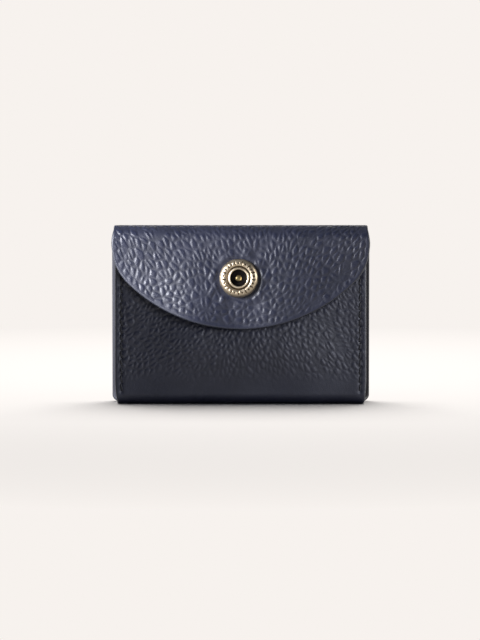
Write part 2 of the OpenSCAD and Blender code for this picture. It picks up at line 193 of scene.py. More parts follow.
def sheet_mesh(name, place, nu, nv, thick, free, grain, edge=EDGE_ROUND):
    """A closed sheet with rounded edges. place(u, v) gives the outer face's points and
    normals for u in -1..1 and v in 0..1; grain is the height added along the normal. The
    rim is half an ellipse swept round the border, flat where a side is a cut, and the
    inner face is a grid three times coarser. free = (v0, v1, u sides) says which sides
    are rounded edges."""
    u, v = np.meshgrid(np.linspace(-1, 1, nu + 1), np.linspace(0, 1, nv + 1))
    base, normal = place(u, v)
    height, tone, pebble = grain(u, v)
    outer = base + normal * height[..., None]
    loop = border(nu, nv)
    side = np.repeat([free[0], free[2], free[1], free[2]], [nu, nv, nu, nv]).astype(float)
    side = np.minimum(side, np.roll(side, 1))
    flat_base = base.reshape(-1, 3)
    flat_normal = normal.reshape(-1, 3)
    edge_p, edge_n = flat_base[loop], flat_normal[loop]
    edge_h = height.reshape(-1)[loop]
    along = np.roll(edge_p, -1, 0) - np.roll(edge_p, 1, 0)
    outward = np.cross(along, edge_n)
    outward /= np.linalg.norm(outward, axis=1)[:, None]
    step_u = np.roll(base, -1, 1) - base
    step_v = np.roll(base, -1, 0) - base
    facing = np.einsum("ij,ij->i", np.cross(step_u[1:-1, 1:-1].reshape(-1, 3),
                                            step_v[1:-1, 1:-1].reshape(-1, 3)),
                       normal[1:-1, 1:-1].reshape(-1, 3)).sum()
    turned = facing < 0
    if turned:
        outward = -outward
    # Rim: rows of points from the outer face's border round to the inner face's.
    rows = 7
    n_outer, n_loop = len(flat_base), len(loop)
    points = [outer.reshape(-1, 3)]
    ids = [loop]
    for k in range(1, rows):
        theta = math.pi * k / rows
        ring = (edge_p + outward * (edge * side * math.sin(theta))[:, None]
                + edge_n * (edge_h * (1 - k / rows) - thick / 2 * (1 - math.cos(theta)))[:, None])
        points.append(ring)
        ids.append(n_outer + (k - 1) * n_loop + np.arange(n_loop))
    cu, cv = nu // 3, nv // 3
    coarse = (base - normal * thick)[::3, ::3].reshape(-1, 3)
    points.append(coarse)
    first = n_outer + (rows - 1) * n_loop
    fine = first_corners(nu, nv)
    quads = [np.stack([fine, fine + 1, fine + nu + 2, fine + nu + 1], 1)]
    for a, b in zip(ids[:-1], ids[1:]):
        quads.append(np.stack([np.roll(a, -1), a, b, np.roll(b, -1)], 1))
    low = first + first_corners(cu, cv)
    quads.append(np.stack([low, low + cu + 1, low + cu + 2, low + 1], 1))
    inner_loop = first + border(cu, cv)
    last = np.concatenate([ids[-1], ids[-1][:1]])
    seg = np.arange(len(inner_loop)) * 3
    joins = np.stack([last[seg + 3], last[seg + 2], last[seg + 1], last[seg],
                      inner_loop, np.roll(inner_loop, -1)], 1)
    faces = np.concatenate(quads).tolist() + joins.tolist()
    if turned:
        faces = [face[::-1] for face in faces]
    piece = smooth_piece(name, np.concatenate(points), faces)
    mesh = piece.data
    # A cut side keeps a sharp border, so the light doesn't bend at the joint.
    cut = np.zeros(len(mesh.vertices), bool)
    cut[loop[side < 0.5]] = True
    pairs = np.empty(len(mesh.edges) * 2, int)
    mesh.edges.foreach_get("vertices", pairs)
    pairs = pairs.reshape(-1, 2)
    mesh.edges.foreach_set("use_edge_sharp", cut[pairs[:, 0]] & cut[pairs[:, 1]])
    # Marks for the finish: pebble height, its tone, distance from the edge, inner face.
    round_rim = np.repeat(np.arange(1, rows) / rows, n_loop)
    n_rim, n_inner = len(round_rim), len(coarse)
    for key, on_outer, on_rim, on_inner in (
            ("pebble", pebble.ravel(), np.full(n_rim, 0.6), 0.5),
            ("tone", tone.ravel(), np.full(n_rim, 0.5), 0.5),
            ("rim", np.zeros(n_outer), np.tile(side, rows - 1), 0.0),
            ("inner_face", np.zeros(n_outer), round_rim > 0.75, 1.0)):
        set_mark(piece, key, np.concatenate([on_outer, on_rim, np.full(n_inner, on_inner)]))
    mesh.update()
    return piece


def near_edge(distance, band):
    """1 well inside the sheet, 0 at its edge, over the burnished band."""
    return smooth(distance / band)


# Pricked holes: 17 a side, 3.15 mm apart, 2.45 mm in from the front's edge. The sewn margin
# ends 1.4 mm further in.
SEAM_X = FRONT_WIDTH / 2 - 2.45 * mm
MARGIN_X = SEAM_X - 1.4 * mm
PITCH, FIRST_HOLE = 3.15 * mm, 0.9 * mm
HOLES = 17


def seam_dents(x, along):
    """Small dents where the thread goes down: a bell 0.3 mm deep and 0.55 mm wide round each
    hole, and a channel 0.1 mm deep and 0.8 mm wide along the seam."""
    off = np.abs(x) - SEAM_X
    turn = (along - FIRST_HOLE) / PITCH
    nearest = np.clip(np.round(turn), 0, HOLES - 1)
    gap = (turn - nearest) * PITCH
    inside_run = smooth((along - FIRST_HOLE + PITCH) / PITCH) * smooth(
        (FIRST_HOLE + HOLES * PITCH - along) / PITCH)
    channel = 0.10 * mm * np.exp(-(off / (0.8 * mm)) ** 2) * inside_run
    return channel + 0.30 * mm * np.exp(-(off ** 2 + gap ** 2) / (0.55 * mm) ** 2)


# ---- The leather's finish ------------------------------------------------------------
# Aniline-dyed, dark blue-grey, waxed: the pebbles' tops are glossier, the creases duller. Their
# colour holds painted light: the tops are painted lighter as a sheen, the creases painted darker
# as shade. Some pebbles are paler at random. Cut edges are burnished and paler.

def fine_skin_group():
    """Fine skin inside each pebble: small closed cells and pores from Object coordinates,
    put out as a height and a mottling value."""
    group = bpy.data.node_groups.new("fine skin", "ShaderNodeTree")
    face = group.interface
    face.new_socket("Cell Scale", in_out="INPUT", socket_type="NodeSocketFloat").default_value = 1500
    face.new_socket("Mottle Scale", in_out="INPUT", socket_type="NodeSocketFloat").default_value = 90
    face.new_socket("Height", in_out="OUTPUT", socket_type="NodeSocketFloat")
    face.new_socket("Mottle", in_out="OUTPUT", socket_type="NodeSocketFloat")
    nodes, links = group.nodes, group.links
    inlet = nodes.new("NodeGroupInput")
    outlet = nodes.new("NodeGroupOutput")
    where = nodes.new("ShaderNodeTexCoord")
    cells = nodes.new("ShaderNodeTexVoronoi")
    cells.feature = "DISTANCE_TO_EDGE"
    links.new(where.outputs["Object"], cells.inputs["Vector"])
    links.new(inlet.outputs["Cell Scale"], cells.inputs["Scale"])
    rough = nodes.new("ShaderNodeTexNoise")
    rough.inputs["Detail"].default_value = 4
    rough.inputs["Scale"].default_value = 2600
    links.new(where.outputs["Object"], rough.inputs["Vector"])
    valley = nodes.new("ShaderNodeMapRange")
    valley.inputs["From Max"].default_value = 0.16
    links.new(cells.outputs["Distance"], valley.inputs["Value"])
    add = nodes.new("ShaderNodeMath")
    add.operation = "MULTIPLY_ADD"
    add.inputs[1].default_value = 0.6
    links.new(rough.outputs["Fac"], add.inputs[0])
    links.new(valley.outputs["Result"], add.inputs[2])
    links.new(add.outputs["Value"], outlet.inputs["Height"])
    blotch = nodes.new("ShaderNodeTexNoise")
    blotch.inputs["Detail"].default_value = 5
    links.new(where.outputs["Object"], blotch.inputs["Vector"])
    links.new(inlet.outputs["Mottle Scale"], blotch.inputs["Scale"])
    links.new(blotch.outputs["Fac"], outlet.inputs["Mottle"])
    return group


fine_skin = fine_skin_group()


def shade(nodes, links, low, high, value, start=0.0, end=1.0):
    """A colour between low and high as value goes from start to end."""
    span = nodes.new("ShaderNodeMapRange")
    span.inputs["From Min"].default_value = start
    span.inputs["From Max"].default_value = end
    links.new(value, span.inputs["Value"])
    mix = nodes.new("ShaderNodeMix")
    mix.data_type = "RGBA"
    for socket, colour in ((mix.inputs[6], low), (mix.inputs[7], high)):
        if isinstance(colour, tuple):
            socket.default_value = (*colour, 1)
        else:
            links.new(colour, socket)
    links.new(span.outputs["Result"], mix.inputs[0])
    return mix.outputs[2]


def level(nodes, links, value, low, high, start=0.0, end=1.0):
    """A number between low and high as value goes from start to end."""
    span = nodes.new("ShaderNodeMapRange")
    for key, number in (("From Min", start), ("From Max", end), ("To Min", low), ("To Max", high)):
        span.inputs[key].default_value = number
    links.new(value, span.inputs["Value"])
    return span.outputs["Result"]


def mark_of(nodes, key):
    """The number stored on the piece under this key."""
    mark = nodes.new("ShaderNodeAttribute")
    mark.attribute_name = key
    return mark.outputs["Fac"]


def leather_finish(name, crease_shade, top, rubbed, flesh, edge, gloss=(0.62, 0.42), cell=1500,
                   bump=0.00002):
    """Colour: from the creases' painted shade to the tops' painted sheen by pebble height, paler
    by each pebble's tone and by mottling, then the burnished edge and the flesh side by their
    marks. Roughness falls from the creases to the tops."""
    finish = bpy.data.materials.new(name)
    finish.use_nodes = True
    nodes, links = finish.node_tree.nodes, finish.node_tree.links
    shader = nodes["Principled BSDF"]
    skin = nodes.new("ShaderNodeGroup")
    skin.node_tree = fine_skin
    skin.inputs["Cell Scale"].default_value = cell
    pebble = mark_of(nodes, "pebble")
    # Painted light: darker creases stand in for shade, lighter tops for sheen, by pebble height.
    body = shade(nodes, links, crease_shade, top, pebble, 0.05, 0.75)
    worn = shade(nodes, links, body, rubbed, mark_of(nodes, "tone"), 0.45, 1.3)
    high = shade(nodes, links, worn, rubbed, skin.outputs["Mottle"], 0.42, 0.70)
    rim = shade(nodes, links, high, edge, mark_of(nodes, "rim"))
    colour = shade(nodes, links, rim, flesh, mark_of(nodes, "inner_face"))
    links.new(colour, shader.inputs["Base Color"])
    dull = level(nodes, links, pebble, gloss[0], gloss[1], 0.1, 0.8)
    add = nodes.new("ShaderNodeMath")
    add.operation = "ADD"
    links.new(dull, add.inputs[0])
    links.new(level(nodes, links, mark_of(nodes, "inner_face"), 0.0, 0.35), add.inputs[1])
    links.new(add.outputs["Value"], shader.inputs["Roughness"])
    bumps = nodes.new("ShaderNodeBump")
    bumps.inputs["Distance"].default_value = bump
    bumps.inputs["Strength"].default_value = 1.0
    links.new(skin.outputs["Height"], bumps.inputs["Height"])
    links.new(bumps.outputs["Normal"], shader.inputs["Normal"])
    return finish


# The crease colour is painted shade and the top colour painted sheen on the pebbles.
leather = leather_finish(
    "pebbled leather", crease_shade=(0.0034, 0.0048, 0.0132), top=(0.0062, 0.0080, 0.0195),
    rubbed=(0.0088, 0.0106, 0.0230), flesh=(0.018, 0.018, 0.024), edge=(0.013, 0.015, 0.023),
    gloss=(0.54, 0.40), bump=0.000012)


def dress(piece, finish):
    """Gives a piece its finish and the slot that goes with it."""
    piece.data.materials.append(finish)


def strip_half(s, z):
    """Half the strip's width: the front narrows by 0.8 mm over its lowest 11 mm, the base is
    narrower, the back has small round corners, and the fold draws in at its crest."""
    front = FRONT_WIDTH / 2 - 0.8 * mm * np.clip(1 - z / (11 * mm), 0, 1) ** 2
    rise = np.clip(z / BACK_CORNER_R, 0, 1)
    back = WIDTH / 2 - BACK_CORNER_R * (1 - np.sqrt(np.clip(1 - (1 - rise) ** 2, 0, 1)))
    back = np.maximum(back, BASE_WIDTH / 2)
    half = np.where(s < S_BASE, front, np.where(s < S_BASE_END, BASE_WIDTH / 2, back))
    return half - drawn_in(z)


def drawn_in(z):
    """How far each side is drawn in: softly from 0 to 0.8 mm over the top 6.5 mm."""
    return 0.8 * mm * smooth((z - HEIGHT + 6.5 * mm) / (6.5 * mm))


def spread(u, share):
    """Columns closer together near the sides: a mix of u and sin of a quarter turn of u."""
    return (1 - share) * u + share * np.sin(u * math.pi / 2)


def to_surface(x, s, push):
    """Point and normal of the strip at x across and s along, moved out by push; the normal
    is tilted by push's slopes across and along the strip, which come from its differences
    between grid neighbours by solving the two-by-two system of x and s."""
    y, z, ny, nz = sheet_line(s)
    point = np.stack([x, y + ny * push, z + nz * push], -1)
    (x_v, x_u), (s_v, s_u), (p_v, p_u) = (np.gradient(a) for a in (x, s, push))
    area = x_u * s_v - x_v * s_u
    slope_x = (p_u * s_v - p_v * s_u) / area
    slope_s = (p_v * x_u - p_u * x_v) / area
    normal = np.stack([-slope_x, ny + slope_s * nz, nz - slope_s * ny], -1)
    return point, normal / np.linalg.norm(normal, axis=-1)[..., None]


# ---- Front panel ---------------------------------------------------------------------
# Front of the main pocket. It bellies out a little under the flap, and its grain fades
# towards the bottom corner, where the leather was pressed round the edge.

SNAP_X = -0.8 * mm
SNAP_S = (MOUTH_Z - SNAP_Z) / math.cos(FRONT_LEAN)
BELLY_S = 17 * mm


def front_grid(u, v):
    """Place across and along the strip, from the mouth to the start of the base."""
    s = v * S_BASE
    z = sheet_line(s)[1]
    x = spread(u, 0.25) * (strip_half(s, z) - EDGE_ROUND)
    return x, s


def front_place(u, v):
    """Belly: 1.9 mm times a sine-squared hump from 17 mm under the mouth to the foot, times
    a flat-topped hump across the panel."""
    x, s = front_grid(u, v)
    hump = np.sin(math.pi * np.clip((s - BELLY_S) / (S_FOOT - BELLY_S), 0, 1)) ** 2
    across = smooth((MARGIN_X - np.abs(x)) / (30 * mm))
    return to_surface(x, s, 1.9 * mm * hump * across)


def front_grain(u, v):
    """Pebbles that lean outwards at the sides and fade out over the lowest 12 mm, the seam's
    dents, and a flat for the stud, 5.4 mm in radius."""
    x, s = front_grid(u, v)
    lean = 0.75 * np.tanh(x / (22 * mm)) + 0.35 * waves(x, s, 45 * mm, 5)
    stretch = 1.28 + 0.22 * smooth((x + 5 * mm) / (35 * mm)) + 0.12 * waves(x, s, 30 * mm, 9)
    pebble, tone = pebbles(x, s, lean, stretch, 2.3 * mm, 21)
    small, _ = pebbles(x, s, lean, stretch, 1.05 * mm, 22)
    to_side = FRONT_WIDTH / 2 - np.abs(x)
    fade = near_edge(to_side - 0.3 * mm, 1.6 * mm) * near_edge(s - 0.2 * mm, 1.2 * mm)
    fade = fade * (1 - 0.93 * smooth((s - (S_FOOT - 12 * mm)) / (9 * mm)))
    height = 0.25 * mm * (pebble - 0.6) + 0.03 * mm * (small - 0.5)
    swell = 0.10 * mm * waves(x, s, 24 * mm, 3)
    swell = swell * near_edge(to_side, 8 * mm)
    dents = seam_dents(x, S_FOOT - s)
    flat = smooth((np.hypot(x - SNAP_X, s - SNAP_S) - 5.4 * mm) / (2 * mm))
    total = (height * fade + swell) * flat - dents - 0.06 * mm * (1 - flat)
    return total, tone, pebble * fade + 0.45 * (1 - fade)


front_leather = sheet_mesh("front_leather", front_place, 300, 189, LEATHER, (1, 0, 1), front_grain)
dress(front_leather, leather)
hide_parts("front_panel")
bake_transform(front_leather)


# ---- Back panel ----------------------------------------------------------------------
# The standing strip, the rear bottom corner, the back and the rear half of the fold over
# the top. The grain is drawn out lengthwise where the leather bends.

def back_grid(u, v):
    """Place across and along the strip, from the start of the base to the crest."""
    s = S_BASE + v * (S_CREST - S_BASE)
    z = sheet_line(s)[1]
    x = spread(u, 0.25) * (strip_half(s, z) - EDGE_ROUND)
    return x, s


def back_place(u, v):
    """A slack hollow of 0.3 mm in the middle of the back, fading out at the strip, the
    sides and the fold."""
    x, s = back_grid(u, v)
    down = np.sin(math.pi * np.clip((s - S_WALL) / (S_FOLD - S_WALL), 0, 1)) ** 2
    across = smooth((MARGIN_X - np.abs(x)) / (30 * mm))
    return to_surface(x, s, -0.3 * mm * down * across)


def back_grain(u, v):
    """Lower pebbles, drawn out where the leather bends over the top, and the seam's dents."""
    x, s = back_grid(u, v)
    lean = 0.6 * waves(x, s, 60 * mm, 15)
    stretch = 1.2 + 0.3 * smooth((s - S_FOLD + 12 * mm) / (14 * mm)) + 0.1 * waves(x, s, 30 * mm, 4)
    pebble, tone = pebbles(x, s, lean, stretch, 2.5 * mm, 31)
    small, _ = pebbles(x, s, lean, stretch, 1.05 * mm, 32)
    to_side = strip_half(s, sheet_line(s)[1]) - np.abs(x)
    fade = near_edge(to_side - 0.3 * mm, 1.6 * mm) * smooth((s - S_WALL) / (9 * mm))
    height = 0.14 * mm * (pebble - 0.6) + 0.035 * mm * (small - 0.5)
    swell = 0.08 * mm * waves(x, s, 24 * mm, 13) * near_edge(to_side, 8 * mm)
    swell = swell * smooth((s - S_WALL) / (6 * mm))
    # The two halves of the fold meet at the crest with the same height.
    level_out = smooth((S_CREST - s) / (1.5 * mm))
    total = (height * fade + swell) * level_out - seam_dents(x, s - S_WALL)
    return total, tone, pebble * fade + 0.45 * (1 - fade)


back_leather = sheet_mesh("back_leather", back_place, 279, 240, LEATHER, (0, 0, 1), back_grain)
dress(back_leather, leather)
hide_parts("back_panel")
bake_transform(back_leather)


# ---- Flap ----------------------------------------------------------------------------
# The front half of the fold and the rounded flap. Handling has bowed it, so that its sides
# lie closer to the front than its middle, and the snap draws the leather up round itself.

FALL = FLAP_LENGTH - (flap_foot_z - FLAP_SIDE_Z)
SPAN = WIDTH / 2 - SHOULDER_R
LOWER_R = (SPAN ** 2 + FALL ** 2 - SHOULDER_R ** 2) / (2 * (FALL - SHOULDER_R))
SIDE_S = flap_foot_z - FLAP_SIDE_Z


def flap_edge(x, inset):
    """Distance from the flap's foot to its edge at x: the long lower arc between the
    shoulders, a shoulder's arc beyond, both with their radii less the inset."""
    low_r, side_r = LOWER_R - inset, SHOULDER_R - inset
    a = np.abs(x)
    low = FLAP_LENGTH - LOWER_R + np.sqrt(np.maximum(low_r ** 2 - a ** 2, 0))
    side = SIDE_S + np.sqrt(np.maximum(side_r ** 2 - (a - SPAN) ** 2, 0))
    ratio = side_r / (LOWER_R - SHOULDER_R)
    meet = SPAN * (1 + ratio)
    return np.where(a < meet, low, side)


def flap_grid(u, v):
    """Place across and along the strip, from the crest to the flap's edge, which each column
    reaches at its own length; the columns are drawn in with the sides of the fold."""
    across = spread(u, 0.35) * (WIDTH / 2 - EDGE_ROUND)
    s = S_CREST + v * (S_FLAP - S_CREST + flap_edge(across, EDGE_ROUND))
    x = across * (1 - drawn_in(sheet_line(s)[1]) / (WIDTH / 2 - EDGE_ROUND))
    return x, s


def to_flap_edge(x, s):
    """Rough distance to the flap's edge: the smaller of the distances to the sides and to
    the lower arc's circle and, beyond the line through both circles' centres, to the
    shoulder's circle."""
    down = s - S_FLAP
    side = WIDTH / 2 - np.abs(x)
    low = LOWER_R - np.hypot(x, down - (FLAP_LENGTH - LOWER_R))
    corner = SHOULDER_R - np.hypot(np.abs(x) - SPAN, down - SIDE_S)
    past = (down > SIDE_S) & ((down - SIDE_S) * SPAN < (np.abs(x) - SPAN) * (LOWER_R - FALL))
    return np.where(past, corner, np.minimum(side, low))


def flap_place(u, v):
    """Bow: a pillow of 0.7 mm, a sine-squared hump 18 mm each side of the middle; sides
    that come in, more on the left, by the 1.6th power of the distance; and a lower edge
    that lifts by 2.6 mm times the squared way down on the left and lies flat on the right."""
    x, s = flap_grid(u, v)
    down = smooth((s - S_FLAP + 4 * mm) / (20 * mm))
    a = np.abs(x)
    pillow = 0.7 * mm * np.sin(math.pi * np.clip(a / (36 * mm), 0, 1)) ** 2
    drawn = 1.6 - 0.6 * np.tanh(x / (10 * mm))
    sides = -drawn * mm * (np.clip(a - 8 * mm, 0, None) / (42 * mm)) ** 1.6
    lifted = -0.1 + 2.7 * smooth((-x + 2 * mm) / (26 * mm))
    edge = lifted * mm * (np.clip(s - S_FLAP, 0, None) / FLAP_LENGTH) ** 2
    return to_surface(x, s, (pillow + sides) * down + edge)


def flap_grain(u, v):
    """Pebbles drawn out down from the fold, leaning in towards the snap and rounder near the
    lower edge. The snap's seat is smooth to 7.7 mm; round it the leather rises in a ring,
    with nine puckers like spokes, both by bell curves of the distance."""
    x, s = flap_grid(u, v)
    down = (s - S_FLAP) / FLAP_LENGTH
    from_snap_x = x - SNAP_X
    from_snap_s = s - (S_FLAP + (flap_foot_z - SNAP_Z) / math.cos(FRONT_LEAN))
    ring = np.hypot(from_snap_x, from_snap_s)
    lean = -0.62 * np.tanh(x / (20 * mm)) * smooth(1.2 - down) + 0.22 * waves(x, s, 50 * mm, 6)
    stretch = 1.42 - 0.30 * smooth(down * 1.4) + 0.08 * waves(x, s, 30 * mm, 8)
    pebble, tone = pebbles(x, s, lean, stretch, 2.7 * mm, 11)
    small, _ = pebbles(x, s, lean, stretch, 1.1 * mm, 12)
    to_side = to_flap_edge(x, s)
    fade = near_edge(to_side - 0.7 * mm, 1.5 * mm)
    clear = smooth((ring - 7.7 * mm) / (2.0 * mm))
    height = 0.27 * mm * (pebble - 0.6) + 0.025 * mm * (small - 0.5)
    swell = 0.13 * mm * waves(x, s, 22 * mm, 2) * near_edge(to_side, 6 * mm)
    angle = np.arctan2(from_snap_s, from_snap_x)
    spokes = 0.16 * mm * np.cos(9 * angle + 1.3 * np.sin(2 * angle + 1)) * np.exp(
        -((ring - 10.5 * mm) / (3.2 * mm)) ** 2)
    raised = 0.28 * mm * np.exp(-((ring - 9.3 * mm) / (1.6 * mm)) ** 2)
    level_out = smooth((s - S_CREST) / (1.5 * mm))
    total = (height * fade + swell) * clear * level_out + (spokes + raised) * clear
    total = total - 0.05 * mm * (1 - clear)
    return total, tone, pebble * fade + 0.5 * (1 - fade)


flap_leather = sheet_mesh("flap_leather", flap_place, 339, 141, LEATHER, (0, 1, 1), flap_grain)
dress(flap_leather, leather)
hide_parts("flap", "top_fold")
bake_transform(flap_leather)


# ---- Card pocket ---------------------------------------------------------------------
# A flat piece of thin lining leather behind the main pocket, sewn in with the back seams and
# left open at the top, where its edge dips so that a thumb can reach the cards.

GUSSET_Z = MOUTH_Z - 2 * mm
POCKET_THICK, LAYER_GAP, GUSSET_THICK = 1.0 * mm, 0.1 * mm, 0.9 * mm
back_up = np.array([-math.sin(BACK_LEAN), math.cos(BACK_LEAN)])
back_out = np.array([math.cos(BACK_LEAN), math.sin(BACK_LEAN)])
POCKET_TOP = (GUSSET_Z - back_foot[1]) / math.cos(BACK_LEAN)
POCKET_HALF, SCOOP_DROP, SCOOP_HALF = 48.4 * mm, 8 * mm, SEAM_X - 8 * mm
SCOOP_R = (SCOOP_HALF ** 2 + SCOOP_DROP ** 2) / (2 * SCOOP_DROP)
FOOT_GAP, THIN_EDGE = 0.05 * mm, 0.4 * mm


def pocket_place(u, v):
    """Flat in the back's frame: the top edge is straight and dips by a circle's arc, the
    circle's radius from its chord and depth."""
    x = u * (POCKET_HALF - THIN_EDGE)
    dip = np.sqrt(SCOOP_R ** 2 - np.minimum(np.abs(x), SCOOP_HALF) ** 2) - (SCOOP_R - SCOOP_DROP)
    up = FOOT_GAP + v * (POCKET_TOP - FOOT_GAP - THIN_EDGE - dip * smooth(v * 1.5))
    depth = -(LEATHER + LAYER_GAP + POCKET_THICK)
    point = np.stack([x, back_foot[0] + back_up[0] * up + back_out[0] * depth,
                      back_foot[1] + back_up[1] * up + back_out[1] * depth], -1)
    normal = np.zeros(point.shape)
    normal[..., 1], normal[..., 2] = -back_out[0], -back_out[1]
    return point, normal


def fine_grain(u, v):
    """Close fine grain of a thin lining leather, in steps of about a millimetre."""
    x, s = u * POCKET_HALF, v * POCKET_TOP
    pebble, tone = pebbles(x, s, 0.3 * waves(x, s, 40 * mm, 41), 1.1, 1.3 * mm, 42)
    return 0.035 * mm * (pebble - 1), tone, pebble


# The crease colour is painted shade and the top colour painted sheen on the lining's pebbles.
lining = leather_finish(
    "lining leather", crease_shade=(0.008, 0.009, 0.015), top=(0.017, 0.018, 0.029),
    rubbed=(0.026, 0.027, 0.040), flesh=(0.030, 0.028, 0.030), edge=(0.040, 0.040, 0.048),
    gloss=(0.72, 0.60), cell=2300, bump=0.00001)

card_pocket = sheet_mesh("card_pocket_leather", pocket_place, 150, 90, POCKET_THICK, (0, 1, 1),
                         fine_grain, THIN_EDGE)
dress(card_pocket, lining)
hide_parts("card_pocket")
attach(card_pocket, "case")


# ---- Gussets -------------------------------------------------------------------------
# A strip of thin leather on each side, folded lengthwise into a V between the front and the
# back, with a flange sewn in at each seam. It opens like bellows when the front is pulled.

GUSSET_FOOT_Z = 3.2 * mm
FOLD_IN_LOW, FOLD_IN_MORE = 4.8 * mm, 3.9 * mm
# Stops of a section's five corner points: flange edge, seam margin, fold, margin, edge.
stops = [-1, -0.72, 0, 0.72, 1]
front_up = np.array([math.sin(FRONT_LEAN), math.cos(FRONT_LEAN)])
front_out = np.array([-math.cos(FRONT_LEAN), math.sin(FRONT_LEAN)])


def through_stops(t, corners):
    """Value at t of a line through the corners: each corner weighs 1 at its own stop and
    falls evenly to 0 at the stops beside it."""
    t = np.clip(t, -1, 1)
    total = 0
    for k, corner in enumerate(corners):
        left = stops[k - 1] if k else -9
        right = stops[k + 1] if k < 4 else 9
        weight = np.clip(np.minimum((t - left) / (stops[k] - left),
                                    (right - t) / (right - stops[k])), 0, 1)
        weight = np.where(t == stops[k], 1, weight)
        total = total + weight * corner
    return total


def gusset_place(hand):
    """The place function of one gusset: hand is -1 on the left and 1 on the right."""
    def place(u, v):
        """A level section is a line of five points, from the front flange's edge to the fold
        and out to the back flange's edge, rounded by a running mean of nine places along
        it; the section changes evenly from the bottom to the top."""
        z = GUSSET_FOOT_Z + v * (GUSSET_Z - GUSSET_FOOT_Z - THIN_EDGE)
        front_y = (front_foot[0] + (z - front_foot[1]) * math.tan(FRONT_LEAN)
                   + LEATHER / math.cos(FRONT_LEAN) + LAYER_GAP + GUSSET_THICK / 2)
        back_y = (back_foot[0] - (z - back_foot[1]) * math.tan(BACK_LEAN)
                  - LEATHER / math.cos(BACK_LEAN) - 2 * LAYER_GAP - POCKET_THICK - GUSSET_THICK / 2)
        middle = (front_y + back_y) / 2
        fold_x = MARGIN_X - FOLD_IN_LOW - FOLD_IN_MORE * z / GUSSET_Z
        corners_x = [BASE_WIDTH / 2 - THIN_EDGE, MARGIN_X, fold_x, MARGIN_X,
                     POCKET_HALF - THIN_EDGE]
        corners_y = [front_y, front_y, middle, back_y, back_y]
        room = 1 - np.abs(u)
        nearby = [u + np.clip(shift, -room, room) for shift in np.linspace(-0.07, 0.07, 9)]
        x = sum(through_stops(t, corners_x) for t in nearby) / len(nearby)
        y = sum(through_stops(t, corners_y) for t in nearby) / len(nearby)
        tx, ty = np.gradient(x, axis=1), np.gradient(y, axis=1)
        size = np.hypot(tx, ty)
        normal = np.stack([hand * ty / size, -tx / size, 0 * tx], -1)
        point = np.stack([hand * x, y, z], -1) + normal * (GUSSET_THICK / 2)
        return point, normal
    return place


def gusset_grain(u, v):
    """The same close fine grain, in steps of 1.4 mm."""
    x, s = u * 13 * mm, v * GUSSET_Z
    pebble, tone = pebbles(x, s, 0.3 * waves(x, s, 40 * mm, 51), 1.15, 1.4 * mm, 52)
    return 0.04 * mm * (pebble - 1), tone, pebble


for name, hand in (("left_gusset", -1), ("right_gusset", 1)):
    gusset = sheet_mesh(name + "_leather", gusset_place(hand), 90, 132, GUSSET_THICK, (0, 1, 1),
                        gusset_grain, 0.35 * mm)
    dress(gusset, lining)
    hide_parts(name)
    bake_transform(gusset)


# ---- Seams ---------------------------------------------------------------------------
# Saddle stitch in waxed two-ply thread, one line down each side of the front and of the
# back. Each stitch lies a little aslant and dives into its pricked holes.

THREAD_R = 0.30 * mm
SINK, RISE, ASLANT = 0.62 * mm, 0.80 * mm, 0.22 * mm


def stitches(foot, up, out, x, stack, slant):
    """Tubes from hole to hole: the height over the leather is the square root of a
    half-sine, the cross-section a circle with two soft lobes that turn along the stitch.
    One row on the outer face, and one on the inner face under all the layers."""
    t = np.linspace(0, 1, 19)[None, :, None]
    around = np.linspace(0, 2 * math.pi, 12, endpoint=False)[None, None, :]
    first = (np.arange(HOLES - 1))[:, None, None]
    points = []
    for depth, way in ((0.0, 1.0), (-stack, -1.0)):
        lift = depth + way * (-SINK + RISE * np.sqrt(np.sin(math.pi * t)))
        along = FIRST_HOLE + (first + 0.06 + 0.88 * t) * PITCH
        aside = slant * way * ASLANT * np.sin(math.pi * (t - 0.5))
        radius = THREAD_R * (1 + 0.13 * np.cos(2 * (around - 2 * math.pi * 1.3 * t)))
        radius = radius * (0.75 + 0.25 * np.sin(math.pi * t) ** 0.4)
        slope = np.gradient(lift[0, :, 0], (along[0, :, 0] - along[0, 0, 0]))[None, :, None]
        tilt = np.arctan(slope)
        across_part = x + aside + radius * np.cos(around)
        up_part = along - radius * np.sin(around) * np.sin(tilt)
        out_part = lift + radius * np.sin(around) * np.cos(tilt)
        px = across_part + 0 * up_part
        py = foot[0] + up[0] * up_part + out[0] * out_part
        pz = foot[1] + up[1] * up_part + out[1] * out_part
        points.append(np.stack(np.broadcast_arrays(px, py, pz), -1))
    return np.concatenate(points)


def outward_mesh(mesh):
    """Turns the faces of every closed part of the mesh outwards."""
    work = bmesh.new()
    work.from_mesh(mesh)
    bmesh.ops.recalc_face_normals(work, faces=work.faces)
    work.to_mesh(mesh)
    work.free()


def thread_mesh(name, points):
    """Closed tubes from points by stitch, ring and place round the ring."""
    count, rings, ring = points.shape[:3]
    ids = np.arange(count * rings * ring).reshape(count, rings, ring)
    a, b = ids[:, :-1], ids[:, 1:]
    quads = np.stack([a, np.roll(a, -1, 2), np.roll(b, -1, 2), b], -1).reshape(-1, 4)
    faces = quads.tolist() + ids[:, 0, ::-1].tolist() + ids[:, -1].tolist()
    piece = smooth_piece(name, points.reshape(-1, 3), faces)
    outward_mesh(piece.data)
    return piece


thread = bpy.data.materials.new("waxed thread")
thread.use_nodes = True
nodes, links = thread.node_tree.nodes, thread.node_tree.links
shader = nodes["Principled BSDF"]
fibres = nodes.new("ShaderNodeTexNoise")
fibres.inputs["Scale"].default_value = 5200
fibres.inputs["Detail"].default_value = 3
place = nodes.new("ShaderNodeTexCoord")
links.new(place.outputs["Object"], fibres.inputs["Vector"])
